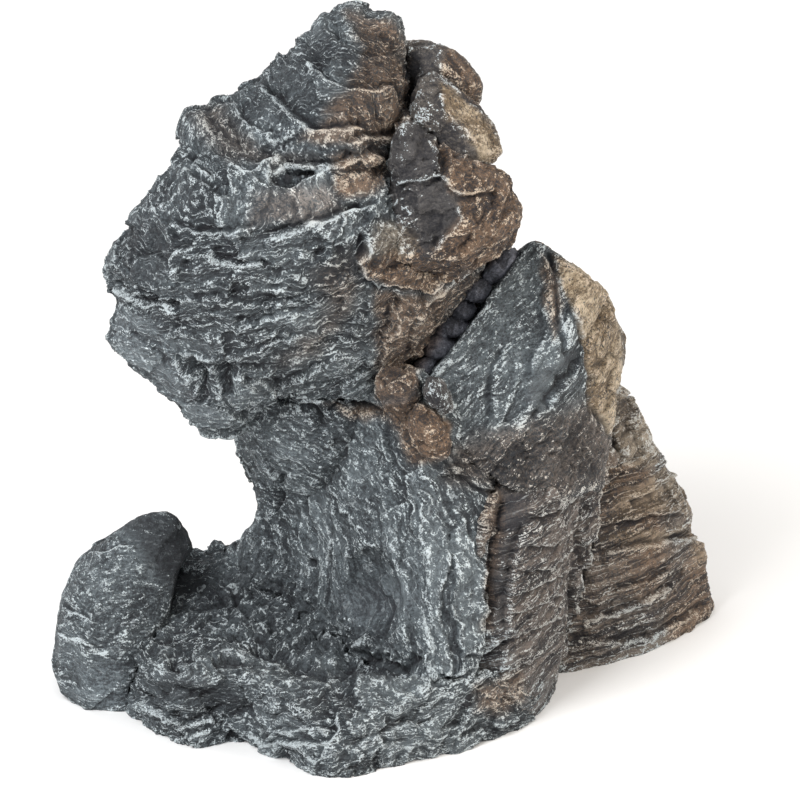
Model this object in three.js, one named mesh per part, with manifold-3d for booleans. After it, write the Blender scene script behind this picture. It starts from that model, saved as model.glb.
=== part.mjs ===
// A rock-shaped cave ornament for an aquarium or pond: hollow cast-resin stones bonded into one outcrop.
// Millimetres, +Z up, +Y towards the back. Everything is drawn from the outcrop's front left bottom corner,
// and the last step scales it to its width and moves the origin to the middle of the underside.
import * as THREE from "three";
import { mergeVertices } from "three/addons/utils/BufferGeometryUtils.js";
import Module from "manifold-3d";

const wasm = await Module();
wasm.setup();

// Driving dimensions.
const WIDTH = 300; // across the whole outcrop; it is drawn at this width, 191 deep and 333 high
const TILT = THREE.MathUtils.degToRad(24); // front outlines are drawn as seen from this far above the horizon
const GAP = 0.7; // room left round a stone where its neighbour is cut back for it
const FAR = 400; // beyond every stone
const SHARPEST = 0.4; // keeps the mitre at a sharp corner of an outline short
const WEAR = 16; // rounds of wear on an outline as it shrinks to nothing

// ---------------------------------------------------------------- shapes

// A point seen u to the right and v up from the front, at depth y.
function sight(u, v, y) {
  return new THREE.Vector3(u, y, (v - y * Math.sin(TILT)) / Math.cos(TILT));
}

const onPlan = (x, y, z) => new THREE.Vector3(x, y, z);
const onSide = (y, z, x) => new THREE.Vector3(x, y, z);

// A closed solid from a three.js geometry, with its faces turned outwards.
function solid(geometry) {
  const bare = new THREE.BufferGeometry().setAttribute("position", geometry.getAttribute("position"));
  bare.setIndex(geometry.index);
  const merged = mergeVertices(bare, 1e-3);
  const triVerts = new Uint32Array(merged.index.array);
  const make = () => new wasm.Manifold(
    new wasm.Mesh({ numProp: 3, vertProperties: merged.attributes.position.array, triVerts }),
  );
  const made = make();
  if (made.volume() > 0) return made;
  for (let i = 0; i < triVerts.length; i += 3) {
    [triVerts[i + 1], triVerts[i + 2]] = [triVerts[i + 2], triVerts[i + 1]];
  }
  return make();
}

// An outline swept through slices: each slice has its place along the sweep (at), the outline's scale there
// (k) and a shift (da, db). The narrower slices lose the outline's teeth, as a worn stone does. grow pushes
// every face outwards.
function swept(outline, slices, place, grow = 0, centre = null) {
  const shape = new THREE.Shape(outline.map(([a, b]) => new THREE.Vector2(a, b)));
  const steps = slices.length - 1;
  const geometry = new THREE.ExtrudeGeometry(shape, { depth: steps, steps, bevelEnabled: false });
  const widest = slices.reduce((best, s, i) => (s.k > slices[best].k ? i : best), 0);
  const worn = slices.map(({ k }) => wear(outline, Math.round((1 - Math.min(k, 1)) * WEAR)));
  const [ca, cb] = centre ?? middle(outline);
  const position = geometry.getAttribute("position");
  for (let i = 0; i < position.count; i++) {
    const step = Math.round(position.getZ(i));
    const { at, k, da = 0, db = 0 } = slices[step];
    const corner = nearest(outline, position.getX(i), position.getY(i));
    const [a, b] = worn[step][corner];
    const [na, nb] = outward(worn[step], corner);
    const along = step === 0 ? -1 : step === steps ? 1 : Math.sign(step - widest);
    const pa = ca + da + (a - ca) * k + na * grow;
    const pb = cb + db + (b - cb) * k + nb * grow;
    const p = place(pa, pb, at + grow * along);
    position.setXYZ(i, p.x, p.y, p.z);
  }
  return solid(geometry);
}

// The outline after some rounds of moving every point to the mean of itself and its neighbours.
function wear(outline, rounds) {
  let worn = outline;
  for (let round = 0; round < rounds; round++) {
    worn = worn.map((p, i) => {
      const [before, after] = [worn.at(i - 1), worn[(i + 1) % worn.length]];
      return [(2 * p[0] + before[0] + after[0]) / 4, (2 * p[1] + before[1] + after[1]) / 4];
    });
  }
  return worn;
}

// The step out of the outline at one of its corners that moves both edges there outwards by one.
function outward(outline, corner) {
  const turn = Math.sign(THREE.ShapeUtils.area(outline.map(([a, b]) => new THREE.Vector2(a, b))));
  const edgeNormal = (p, q) => new THREE.Vector2(q[1] - p[1], p[0] - q[0]).setLength(turn);
  const one = edgeNormal(outline.at(corner - 1), outline[corner]);
  const other = edgeNormal(outline[corner], outline[(corner + 1) % outline.length]);
  const spread = Math.max(1 + one.dot(other), SHARPEST);
  const mitre = one.add(other).divideScalar(spread);
  return [mitre.x, mitre.y];
}

function nearest(outline, a, b) {
  const away = outline.map((p) => Math.hypot(p[0] - a, p[1] - b));
  return away.indexOf(Math.min(...away));
}

function middle(outline) {
  const n = outline.length;
  return [outline.reduce((s, p) => s + p[0], 0) / n, outline.reduce((s, p) => s + p[1], 0) / n];
}

const slice = (at, k, da = 0, db = 0) => ({ at, k, da, db });
const through = (from, to) => [slice(from, 1), slice(to, 1)];

// A pebble: a sphere stretched along its own axes, turned in the front plane, with a few blunt corners.
function pebble([u, v, y], [along, across, deep], turn, lumps, grow = 0) {
  const geometry = new THREE.SphereGeometry(1, 12, 8);
  const position = geometry.getAttribute("position");
  const p = new THREE.Vector3();
  const at = sight(u, v, y);
  const size = new THREE.Vector3(along, deep, across).addScalar(grow);
  for (let i = 0; i < position.count; i++) {
    p.fromBufferAttribute(position, i);
    const swell = 1 + lumps * Math.sin(3.1 * p.x + 1.7) * Math.cos(2.6 * p.z + u) * Math.cos(2.2 * p.y);
    p.multiply(size).multiplyScalar(swell);
    p.applyAxisAngle(new THREE.Vector3(0, -1, 0), turn).add(at);
    position.setXYZ(i, p.x, p.y, p.z);
  }
  return solid(geometry);
}

const above = solid(new THREE.BoxGeometry(2 * FAR, 2 * FAR, FAR).translate(0, 0, FAR / 2));

// ---------------------------------------------------------------- the stones, each as a function of grow

const boulder = (grow = 0) => {
  const foot = [
    [3, 82], [0, 96], [2, 114], [10, 131], [25, 142], [42, 141], [57, 131], [64, 115], [63, 98], [57, 84],
    [45, 74], [30, 69], [14, 71],
  ];
  const levels = [
    slice(-6, 0.97), slice(12, 1.02), slice(34, 1.02, 1), slice(54, 0.93, 4), slice(70, 0.74, 9),
    slice(80, 0.48, 13), slice(85, 0.2, 15),
  ];
  const front = [
    [65, 104], [63, 108], [60, 111], [56, 115], [51, 117], [45, 116.5], [39, 115], [31, 111], [23, 106],
    [14, 101], [9, 95], [5, 88], [2, 80], [0, 72], [0, 55], [0, 44], [3, 37], [9, 31], [16, 28], [33, 20],
    [33, 28], [33, 40], [36, 48], [41, 58], [46, 66], [51, 73], [53, 82], [55, 92], [59, 99],
  ];
  return swept(foot, levels, onPlan, grow)
    .intersect(swept(front, through(40, 170), sight, grow));
};

const ledge = (grow = 0) => {
  const foot = [
    [28, 78], [36, 62], [42, 56], [50, 44], [57, 34], [65, 33], [76, 38], [88, 37], [96, 27], [108, 14],
    [118, 4], [126, 0], [140, 4], [150, 10], [165, 18], [176, 25], [191, 33], [203, 42], [214, 55],
    [222, 72], [226, 92], [215, 130], [180, 150], [120, 158], [70, 158], [50, 140],
  ];
  const rise = [slice(-6, 0.99), slice(10, 1), slice(40, 0.965), slice(64, 0.93)];
  const side = [
    [-4, -6], [-2, 14], [8, 27], [26, 33], [50, 33], [80, 37], [112, 45], [140, 50], [156, 44], [164, -6],
  ];
  return swept(foot, rise, onPlan, grow)
    .intersect(swept(side, through(20, 235), onSide, grow));
};

const neck = (grow = 0) => {
  const foot = [
    [82, 130], [92, 114], [108, 99], [124, 82], [138, 63], [152, 48], [168, 41], [184, 42], [197, 50],
    [203, 72], [207, 100], [205, 140], [190, 165], [110, 168], [88, 155],
  ];
  const levels = [
    slice(18, 1.16), slice(42, 1.12), slice(54, 1.05), slice(80, 0.99), slice(110, 0.97, 0, 4),
    slice(140, 0.96, 0, 10), slice(178, 0.95, 0, 16),
  ];
  const front = [
    [73, 161], [77, 153.5], [80, 148.5], [84, 141], [89, 133], [92, 126], [93, 120], [92, 113], [86, 106],
    [70, 96], [66, 70], [110, 46],
    [140, 30], [185, 30], [192, 62], [193, 78], [195, 92], [196, 104], [200, 116], [200, 130], [196, 140],
    [190, 156], [172, 178], [150, 186], [110, 186], [84, 176],
  ];
  const scoop = solid(new THREE.SphereGeometry(34, 16, 10).translate(127, 40, 66));
  const throat = solid(new THREE.SphereGeometry(1, 20, 14).scale(42 + grow, 38 + grow, 76 + grow)
    .translate(119, 109, 166));
  const stone = swept(foot, levels, onPlan, grow)
    .add(throat)
    .intersect(swept(front, through(-20, 185), sight, grow));
  return grow ? stone : stone.subtract(scoop);
};

const strataFront = (grow = 0) => {
  const foot = [
    [186, 48], [202, 46], [212, 56], [220, 70], [226, 86], [229, 108], [240, 124], [236, 145], [200, 150],
    [180, 120],
  ];
  const levels = [
    slice(-6, 1), slice(20, 1), slice(45, 1.02, 2), slice(75, 1.04, 5, 1), slice(98, 1.06, 9, 3),
    slice(112, 1, 12, 8), slice(120, 0.85, 14, 18),
  ];
  const front = [
    [194, 132], [203, 138], [214, 151], [232, 156], [247, 156], [256, 144], [259, 132], [258, 126],
    [252, 119], [247, 111], [243, 102], [241, 92], [237, 83], [235, 74], [231, 66], [231, 56], [227, 47],
    [226, 36], [205, 14], [186, 14], [184, 60],
  ];
  return swept(foot, levels, onPlan, grow).intersect(swept(front, through(-10, 190), sight, grow));
};

const strataRear = (grow = 0) => {
  const foot = [
    [214, 112], [229, 109], [248, 118], [266, 131], [283, 149], [298, 170], [300, 180], [291, 189],
    [262, 190], [236, 188], [214, 180],
  ];
  const levels = [
    slice(-6, 1), slice(8, 1), slice(30, 0.99, -1, 1), slice(60, 0.95, -4, 3), slice(90, 0.86, -8, 6),
    slice(112, 0.7, -10, 6), slice(128, 0.5, -10, 4),
  ];
  const front = [
    [240, 160], [262, 154], [268, 150], [273, 143], [280, 134],
    [285, 128], [288, 118], [288, 110], [291, 104], [296, 103], [297, 97], [296, 90], [299, 82], [300, 74],
    [298, 68], [285, 56], [240, 30], [214, 30], [220, 120],
  ];
  return swept(foot, levels, onPlan, grow).intersect(swept(front, through(60, 200), sight, grow));
};

const wedge = (grow = 0) => {
  const plan = [
    [160, 56], [176, 50], [200, 54], [226, 68], [240, 84], [254, 112], [258, 140], [246, 156], [205, 158],
    [170, 130],
  ];
  const front = [
    [216, 239], [222, 237], [230, 231], [238, 225], [245, 219], [250, 212], [253, 205], [257, 198],
    [257, 188], [254, 178], [251, 168], [250, 150], [246, 132], [222, 124], [205, 130], [188, 142],
    [178, 156], [170, 165], [164, 170], [170, 179], [178, 189], [186, 200], [193, 210], [201, 222],
    [209, 233],
  ];
  const side = [[58, 90], [58, 140], [66, 172], [84, 205], [101, 224], [118, 228], [150, 190], [160, 90]];
  return swept(plan, through(60, 240), onPlan, grow)
    .intersect(swept(front, through(20, 180), sight, grow))
    .intersect(swept(side, through(140, 270), onSide, grow));
};

const head = (grow = 0) => {
  const front = [
    [60, 282], [55, 271], [50, 268], [46, 263], [42, 257], [37, 251], [35, 244], [30, 239], [26, 233],
    [24, 226], [27, 219], [29, 211], [26, 203], [26, 197], [30, 190], [35, 184], [41, 180], [47, 177],
    [52, 171], [60, 163], [68, 157], [78, 152], [88, 160], [98, 168], [110, 168], [124, 163], [134, 167],
    [148, 170], [154, 178], [161, 186], [168, 194], [175, 203], [183, 215], [190, 225], [196, 232],
    [196, 250], [180, 270], [152, 285], [120, 290], [85, 290],
  ];
  const depths = [
    slice(28, 0.28, 0, 10), slice(33, 0.48, 0, 9), slice(43, 0.68, 0, 7), slice(57, 0.84, 0, 4),
    slice(74, 0.95, 0, 1), slice(90, 1), slice(118, 0.97, 2, 2), slice(142, 0.86, 6, 6),
    slice(158, 0.66, 8, 8), slice(166, 0.45, 8, 10),
  ];
  return swept(front, depths, sight, grow, [112, 222]);
};

const peak = (grow = 0) => {
  const front = [
    [57, 289], [59, 296], [63, 299], [71, 299], [74, 303], [82, 304], [88, 309], [92, 311], [96, 316],
    [101, 320], [107, 324], [112, 330], [117, 333], [122, 340], [128, 341], [133, 345], [138, 345.5],
    [144, 343], [153, 342], [157, 338], [157, 331], [160, 325], [162, 318], [160, 311], [161, 302],
    [159, 292], [157, 280], [153, 262], [144, 248], [126, 240], [104, 240], [84, 248], [70, 262], [60, 280],
  ];
  const depths = [
    slice(43, 0.3, 0, -22), slice(50, 0.5, 2, -18), slice(61, 0.7, 2, -11), slice(76, 0.86, 1, -5),
    slice(94, 0.97, 0, -1), slice(106, 1), slice(124, 0.93), slice(142, 0.74), slice(154, 0.46),
  ];
  return swept(front, depths, sight, grow, [116, 280]);
};

const shoulder = (grow = 0) => {
  const front = [
    [157, 299], [164, 292], [170, 285], [178, 278], [186, 273], [195, 272], [200, 270], [205, 267],
    [205, 261], [209, 256], [209, 251], [207, 246], [204, 240], [198, 232], [190, 228], [180, 224],
    [165, 220], [150, 221], [142, 225], [138, 230], [140, 241], [146, 250], [149, 262], [152, 274],
    [155, 286],
  ];
  const depths = [
    slice(38, 0.45, -4, -10), slice(46, 0.78, -2, -3), slice(58, 0.93), slice(76, 1), slice(98, 0.98, 0, 1),
    slice(122, 0.82, -4, 7), slice(136, 0.55, -8, 12),
  ];
  return swept(front, depths, sight, grow);
};

const slabMiddle = (grow = 0) => {
  const front = [
    [165, 311], [171, 314], [176, 311], [184, 305], [190, 300], [193, 296], [197, 291], [199, 285],
    [201, 279], [197, 275], [193, 273], [188, 272], [183, 274], [177, 279], [171, 285], [166, 292],
    [161, 299], [162, 304],
  ];
  const depths = [
    slice(63, 0.66, -6.5, -6), slice(77, 1), slice(92, 1), slice(112, 0.98, -2, 3), slice(128, 0.8, -5, 7),
  ];
  return swept(front, depths, sight, grow);
};

const slabTop = (grow = 0) => {
  const front = [
    [158, 327], [164, 325], [170, 325.5], [176, 326.5], [181, 324], [186, 320], [191, 313], [193, 309],
    [192, 303], [190, 299], [184, 303], [177, 309], [171, 313], [164, 310], [159, 304],
  ];
  const depths = [
    slice(83, 0.6, -2, -3), slice(95, 1), slice(110, 1.04, -2), slice(128, 1.08, -7, 3),
    slice(140, 0.8, -9, 6),
  ];
  return swept(front, depths, sight, grow);
};

const shoulderRear = (grow = 0) => {
  const foot = [
    [234, 126], [246, 122], [258, 130], [268, 144], [270, 160], [262, 172], [244, 178], [232, 170],
  ];
  const levels = [slice(60, 1), slice(96, 1), slice(122, 0.9, -3, 4), slice(140, 0.6, -8, 6)];
  const front = [
    [230, 190], [244, 184], [254, 176], [260, 170], [264, 161], [269, 152], [268, 146], [256, 142],
    [246, 140], [230, 146],
  ];
  return swept(foot, levels, onPlan, grow).intersect(swept(front, through(90, 200), sight, grow));
};

// The rear wall backs the slot, carries the cave mouth and closes the outcrop behind.
const rearWall = (grow = 0) => {
  const foot = [
    [60, 160], [76, 148], [104, 134], [140, 128], [180, 126], [214, 128], [240, 142], [248, 160],
    [240, 178], [214, 187], [170, 190], [128, 188], [92, 183], [66, 178],
  ];
  const levels = [
    slice(-6, 1), slice(20, 1), slice(70, 0.98), slice(120, 0.96, 2, -3), slice(165, 0.9, 2, -7),
    slice(205, 0.84, 2, -12), slice(236, 0.66, 2, -18),
  ];
  const front = [
    [66, 20], [66, 99], [88, 102], [97, 112], [98, 128], [88, 156], [62, 180], [58, 220], [84, 268],
    [120, 300], [150, 312], [166, 308], [184, 288], [192, 266], [200, 248], [205, 236], [214, 234],
    [230, 224], [246, 206], [250, 160], [262, 130], [262, 20],
  ];
  return swept(foot, levels, onPlan, grow).intersect(swept(front, through(90, 230), sight, grow));
};

const keystones = [
  {
    name: "keystone_low", front: 37,
    outline: [[164, 167], [170, 163], [175, 157], [179, 150], [177, 144], [173, 142], [166, 147], [161, 154],
      [160, 161]],
  },
  {
    name: "keystone_high", front: 46,
    outline: [[148, 184], [156, 182], [163, 178], [165, 172], [162, 164], [156, 162], [149, 165], [147, 174]],
  },
  {
    name: "keystone_right", front: 42,
    outline: [[169, 179], [174, 177], [178, 171], [179, 165], [175, 163], [171, 167], [168, 173]],
  },
];

const keystone = ({ outline, front }, grow) => {
  const depths = [slice(front, 0.62), slice(front + 3, 0.9), slice(front + 9, 1), slice(front + 18, 0.85)];
  return swept(outline, depths, sight, grow);
};

const crevicePebbles = [
  { at: [201, 229, 96], size: [11, 4.5, 6], turn: 0.85 },
  { at: [191, 218, 92], size: [6, 4.5, 6], turn: 0.5 },
  { at: [185, 209, 88], size: [5, 4, 5], turn: 0.2 },
  { at: [180, 202, 85], size: [6.5, 4, 6], turn: 0.1 },
  { at: [174, 193, 82], size: [6.5, 4.5, 6], turn: 0.3 },
  { at: [167, 183, 78], size: [5, 3.5, 5], turn: 0.9 },
];

// ---------------------------------------------------------------- the hollow inside

// The cave fills the lower half and opens at the back; the ledge and the boulder are shells, open underneath.
function hollow() {
  const chamberFoot = [
    [100, 118], [120, 100], [142, 80], [160, 64], [184, 62], [194, 76], [198, 110], [204, 150], [196, 176],
    [112, 176], [98, 150],
  ];
  const chamber = swept(chamberFoot, [
    slice(-10, 1), slice(60, 1), slice(92, 0.92, 0, 4), slice(116, 0.66, 0, 6), slice(124, 0.4, 0, 6),
  ], onPlan);
  const mouthOutline = [
    [116, -10], [113, 22], [118, 42], [128, 60], [145, 70], [162, 72], [176, 62], [183, 44], [187, 20],
    [184, -10],
  ];
  const mouth = swept(mouthOutline, through(150, FAR), (x, z, y) => new THREE.Vector3(x, y, z));
  const underLedge = swept([
    [48, 76], [60, 46], [90, 48], [112, 22], [126, 12], [148, 20], [174, 36], [196, 50], [205, 72],
    [160, 84], [120, 100], [96, 130], [60, 130],
  ], [slice(-10, 1), slice(14, 0.97), slice(22, 0.9)], onPlan);
  const underBoulder = solid(new THREE.SphereGeometry(1, 12, 8).scale(17, 26, 60).translate(25, 106, 8));
  return chamber.add(mouth).add(underLedge).add(underBoulder);
}

// ---------------------------------------------------------------- colours

const paint = (color, roughness) => new THREE.MeshStandardMaterial({ color, roughness, metalness: 0 });
const slate = paint(0x4a4f54, 0.85);
const ochre = paint(0x75655a, 0.85);
const tan = paint(0x8a7b66, 0.88);
const dark = paint(0x2c2d31, 0.8);

// ---------------------------------------------------------------- assembly

// The order settles every joint: a stone keeps its shape, and the ones after it are cut back from it.
const order = [
  ...keystones.map((s) => ({
    name: s.name, make: (grow) => keystone(s, grow), colour: ochre, solidCast: true,
  })),
  { name: "slab_middle", make: slabMiddle, colour: tan, solidCast: true },
  { name: "slab_top", make: slabTop, colour: tan, solidCast: true },
  { name: "peak_stone", make: peak, colour: slate },
  { name: "shoulder_stone", make: shoulder, colour: ochre },
  { name: "wedge_stone", make: wedge, colour: slate },
  { name: "head_stone", make: head, colour: slate },
  { name: "left_boulder", make: boulder, colour: slate },
  { name: "neck_stone", make: neck, colour: slate },
  { name: "shoulder_rear", make: shoulderRear, colour: tan },
  { name: "strata_front", make: strataFront, colour: ochre },
  { name: "strata_rear", make: strataRear, colour: tan },
  { name: "front_ledge", make: ledge, colour: slate },
  ...crevicePebbles.map((s, i) => ({
    name: `crevice_pebble_${i + 1}`, make: (grow) => pebble(s.at, s.size, s.turn, 0.15, grow), colour: dark,
    solidCast: true,
  })),
  { name: "rear_wall", make: rearWall, colour: slate },
];

// A manifold-3d solid as a three.js geometry, keeping only its largest body: slivers cut loose are dropped.
function geometryOf(made) {
  const body = made.decompose().sort((a, b) => b.volume() - a.volume())[0];
  const mesh = body.getMesh();
  const points = new Float32Array(mesh.numVert * 3);
  for (let i = 0; i < mesh.numVert; i++) {
    points.set(mesh.vertProperties.subarray(i * mesh.numProp, i * mesh.numProp + 3), i * 3);
  }
  const geometry = new THREE.BufferGeometry();
  geometry.setAttribute("position", new THREE.BufferAttribute(points, 3));
  geometry.setIndex(new THREE.BufferAttribute(mesh.triVerts, 1));
  geometry.computeVertexNormals();
  return geometry;
}

const outcrop = new THREE.Group();
const inside = hollow();
let taken = null;
for (const { name, make, colour, solidCast } of order) {
  let stone = make(0).intersect(above);
  if (taken) stone = stone.subtract(taken);
  if (!solidCast) stone = stone.subtract(inside);
  const mesh = new THREE.Mesh(geometryOf(stone), colour);
  mesh.name = name;
  outcrop.add(mesh);
  const grown = make(GAP);
  taken = taken ? taken.add(grown) : grown;
}

const drawn = new THREE.Box3().setFromObject(outcrop);
outcrop.scale.setScalar(WIDTH / (drawn.max.x - drawn.min.x));
const box = new THREE.Box3().setFromObject(outcrop);
const centre = box.getCenter(new THREE.Vector3());
outcrop.position.set(-centre.x, -centre.y, -box.min.z);

const part = new THREE.Group();
part.add(outcrop);
export default part;
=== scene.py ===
"""Painted cast-resin cave ornament: every CAD stone is remeshed finely, carved into torn slate, and painted.

Stones are carved in millimetres, in a drawing frame whose corner is the CAD box's lowest corner, and their
meshes are written in metres. Marks on the front are placed as the camera sees them: u to the right and v up,
in millimetres. Materials, floor, lights and camera are in metres.
"""
import math
from collections import namedtuple
from types import SimpleNamespace

import bpy
import numpy as np
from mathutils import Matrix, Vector


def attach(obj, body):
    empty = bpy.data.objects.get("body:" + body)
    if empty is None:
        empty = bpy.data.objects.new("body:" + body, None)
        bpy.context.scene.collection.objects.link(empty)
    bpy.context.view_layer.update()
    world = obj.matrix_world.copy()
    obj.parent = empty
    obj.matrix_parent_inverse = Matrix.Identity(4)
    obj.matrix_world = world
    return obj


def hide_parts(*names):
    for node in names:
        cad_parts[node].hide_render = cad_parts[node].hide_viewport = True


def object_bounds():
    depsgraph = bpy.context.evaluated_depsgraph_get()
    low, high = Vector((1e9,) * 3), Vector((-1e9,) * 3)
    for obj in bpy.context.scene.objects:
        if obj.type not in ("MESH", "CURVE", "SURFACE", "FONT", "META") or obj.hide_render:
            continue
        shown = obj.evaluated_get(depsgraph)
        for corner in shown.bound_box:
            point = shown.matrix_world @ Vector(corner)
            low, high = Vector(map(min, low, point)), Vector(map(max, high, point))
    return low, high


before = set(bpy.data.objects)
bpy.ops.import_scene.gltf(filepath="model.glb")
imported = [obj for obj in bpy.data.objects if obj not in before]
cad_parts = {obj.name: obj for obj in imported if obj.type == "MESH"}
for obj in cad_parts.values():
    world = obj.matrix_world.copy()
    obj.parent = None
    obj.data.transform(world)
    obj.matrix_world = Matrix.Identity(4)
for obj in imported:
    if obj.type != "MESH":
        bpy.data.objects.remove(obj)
CAD_LOW, CAD_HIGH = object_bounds()

MM = 0.001
TILT = math.radians(24)  # how far above the horizon the camera stands
SIN, COS = math.sin(TILT), math.cos(TILT)
CORNER = np.array(CAD_LOW) / MM
FAR = 99.0  # stands for a distance that is out of reach

# ---------------------------------------------------------------- noise

SCRAMBLE_XYZ, SCRAMBLE_SEED, SCRAMBLE_ALL = (73856093, 19349663, 83492791), 2654435, 1274126177
NOISE_GAIN = 1.6  # brings gradient noise up to about -1 to 1
CELL_JITTER = 0.45  # how far a chip's centre lies off its cell's centre, in cells
PULL, PUSH = 0.6, -0.62  # shares of the way to the neighbours' mean when a shape is faired
GRADIENTS = np.random.default_rng(7).normal(size=(256, 3)).astype(np.float32)
GRADIENTS /= np.linalg.norm(GRADIENTS, axis=1)[:, None]


def hashed(x, y, z, seed):
    """A scrambled number from 0 to 255 for each grid cell."""
    by_x, by_y, by_z = SCRAMBLE_XYZ
    mixed = x * by_x ^ y * by_y ^ z * by_z ^ seed * SCRAMBLE_SEED
    mixed = (mixed ^ (mixed >> 13)) * SCRAMBLE_ALL
    return (mixed ^ (mixed >> 16)) & 255


def corners(steps):
    """Every (dx, dy, dz) made from the given steps."""
    return [(dx, dy, dz) for dx in steps for dy in steps for dz in steps]


def noise(points, size, seed):
    """Smooth gradient noise from about -1 to 1, whose features are about size across."""
    place = points.astype(np.float32) / np.float32(size)
    cell = np.floor(place).astype(np.int64)
    inner = place - cell
    weight = inner * inner * inner * (inner * (inner * 6 - 15) + 10)
    total = np.zeros(len(place), np.float32)
    for dx, dy, dz in corners((0, 1)):
        gradient = GRADIENTS[hashed(cell[:, 0] + dx, cell[:, 1] + dy, cell[:, 2] + dz, seed)]
        away = inner - np.array([dx, dy, dz], np.float32)
        weight_x = weight[:, 0] if dx else 1 - weight[:, 0]
        weight_y = weight[:, 1] if dy else 1 - weight[:, 1]
        weight_z = weight[:, 2] if dz else 1 - weight[:, 2]
        total += (gradient * away).sum(1) * weight_x * weight_y * weight_z
    return total * NOISE_GAIN


def layered(points, size, seed, octaves=3):
    """Noise with finer noise added, each octave half as large and half as strong."""
    return sum(noise(points, size / 2**i, seed + i) / 2**i for i in range(octaves))


def chips(points, size, seed):
    """Chipped facets: in each cell of a jittered grid the skin is a plane with its own height and tilt."""
    place = points.astype(np.float32) / np.float32(size)
    cell = np.floor(place).astype(np.int64)
    nearest = np.full(len(place), FAR, np.float32)
    height = np.zeros(len(place), np.float32)
    for step in corners((-1, 0, 1)):
        at = cell + np.array(step)
        pick = hashed(at[:, 0], at[:, 1], at[:, 2], seed)
        away = place - (at + 0.5 + CELL_JITTER * GRADIENTS[pick])
        distance = (away**2).sum(1)
        plane = (away * GRADIENTS[(pick * 7 + 13) & 255]).sum(1) + 0.6 * GRADIENTS[(pick * 3 + 5) & 255, 0]
        nearer = distance < nearest
        nearest = np.where(nearer, distance, nearest)
        height = np.where(nearer, plane, height)
    return height.astype(np.float32)


def smooth(low, high, x):
    """An S-shaped step from 0 at low to 1 at high."""
    share = np.clip((x - low) / (high - low), 0, 1)
    return share * share * (3 - 2 * share)


# ---------------------------------------------------------------- meshes as arrays

def seen(points):
    """(u, v) of each point as the camera sees it."""
    return np.stack([points[:, 0], points[:, 2] * COS + points[:, 1] * SIN], 1)


class Surface:
    """A stone's mesh as arrays: its points in the drawing frame, with the edges that join them."""

    def __init__(self, mesh):
        count = len(mesh.vertices)
        flat = np.empty(count * 3, np.float32)
        mesh.vertices.foreach_get("co", flat)
        self.mesh = mesh
        self.points = flat.reshape(-1, 3) / MM - CORNER.astype(np.float32)
        pairs = np.empty(len(mesh.edges) * 2, np.int32)
        mesh.edges.foreach_get("vertices", pairs)
        self.ends = pairs.reshape(-1, 2)
        self.degree = np.maximum(np.bincount(pairs, minlength=count), 1).astype(np.float32)

    def mean(self, values):
        """Each vertex's mean over the vertices joined to it."""
        a, b = self.ends.T
        columns = values.reshape(len(self.degree), -1)
        out = np.empty_like(columns)
        for i in range(columns.shape[1]):
            column = columns[:, i]
            total = np.bincount(a, column[b], len(column)) + np.bincount(b, column[a], len(column))
            out[:, i] = total / self.degree
        return out.reshape(values.shape)

    def relax(self, values, rounds, share=PULL):
        """Moves each value a share of the way to its neighbours' mean, again and again."""
        for _ in range(rounds):
            values = values + share * (self.mean(values) - values)
        return values

    def fair(self, values, rounds):
        """Rounds off small creases without shrinking: each pull inwards is followed by a push back out."""
        for _ in range(rounds):
            values = self.relax(self.relax(values, 1, PULL), 1, PUSH)
        return values

    def write(self):
        placed = (self.points + CORNER) * MM
        self.mesh.vertices.foreach_set("co", placed.astype(np.float32).ravel())
        self.mesh.update()

    def normals(self):
        self.write()
        flat = np.empty(len(self.degree) * 3, np.float32)
        self.mesh.vertex_normals.foreach_get("vector", flat)
        return flat.reshape(-1, 3)

    def store(self, name, values):
        attribute = self.mesh.attributes.new(name, "FLOAT", "POINT")
        attribute.data.foreach_set("value", values.astype(np.float32))


def along(points, path, reach):
    """The distance to a path, the side (+ is the left hand of the way it is drawn) and the share covered.

    Points beyond the reach of the path's box are FAR away.
    """
    spots = np.array(path, np.float32)
    near = ((points > spots.min(0) - reach) & (points < spots.max(0) + reach)).all(1)
    close = points[near]
    best = np.full(len(close), FAR, np.float32)
    turned = np.zeros(len(close), np.float32)
    covered = np.zeros(len(close), np.float32)
    for i, (a, b) in enumerate(zip(spots[:-1], spots[1:])):
        way = b - a
        part = np.clip(((close - a) @ way) / (way @ way), 0, 1)
        away = close - (a + part[:, None] * way)
        distance = np.hypot(away[:, 0], away[:, 1])
        nearer = distance < best
        best[nearer] = distance[nearer]
        turned[nearer] = np.sign(way[0] * away[:, 1] - way[1] * away[:, 0])[nearer]
        covered[nearer] = ((i + part) / (len(spots) - 1))[nearer]
    distance = np.full(len(points), FAR, np.float32)
    side, share = np.zeros((2, len(points)), np.float32)
    distance[near], side[near], share[near] = best, turned, covered
    return distance, side, share


def within(points, outline, soft):
    """1 inside a closed outline and 0 outside it, over a soft border."""
    distance, _, _ = along(points, outline + outline[:1], soft)
    inside = np.zeros(len(points), bool)
    for (ax, ay), (bx, by) in zip(outline, outline[1:] + outline[:1]):
        spans = (points[:, 1] > ay) != (points[:, 1] > by)
        rise = (by - ay) or 1  # a level side spans nothing
        crossing = ax + (points[:, 1] - ay) * (bx - ax) / rise
        inside ^= spans & (points[:, 0] < crossing)
    return smooth(-soft, soft, np.where(inside, distance, -distance))


# ---------------------------------------------------------------- marks on the front, in (u, v) millimetres

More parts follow.
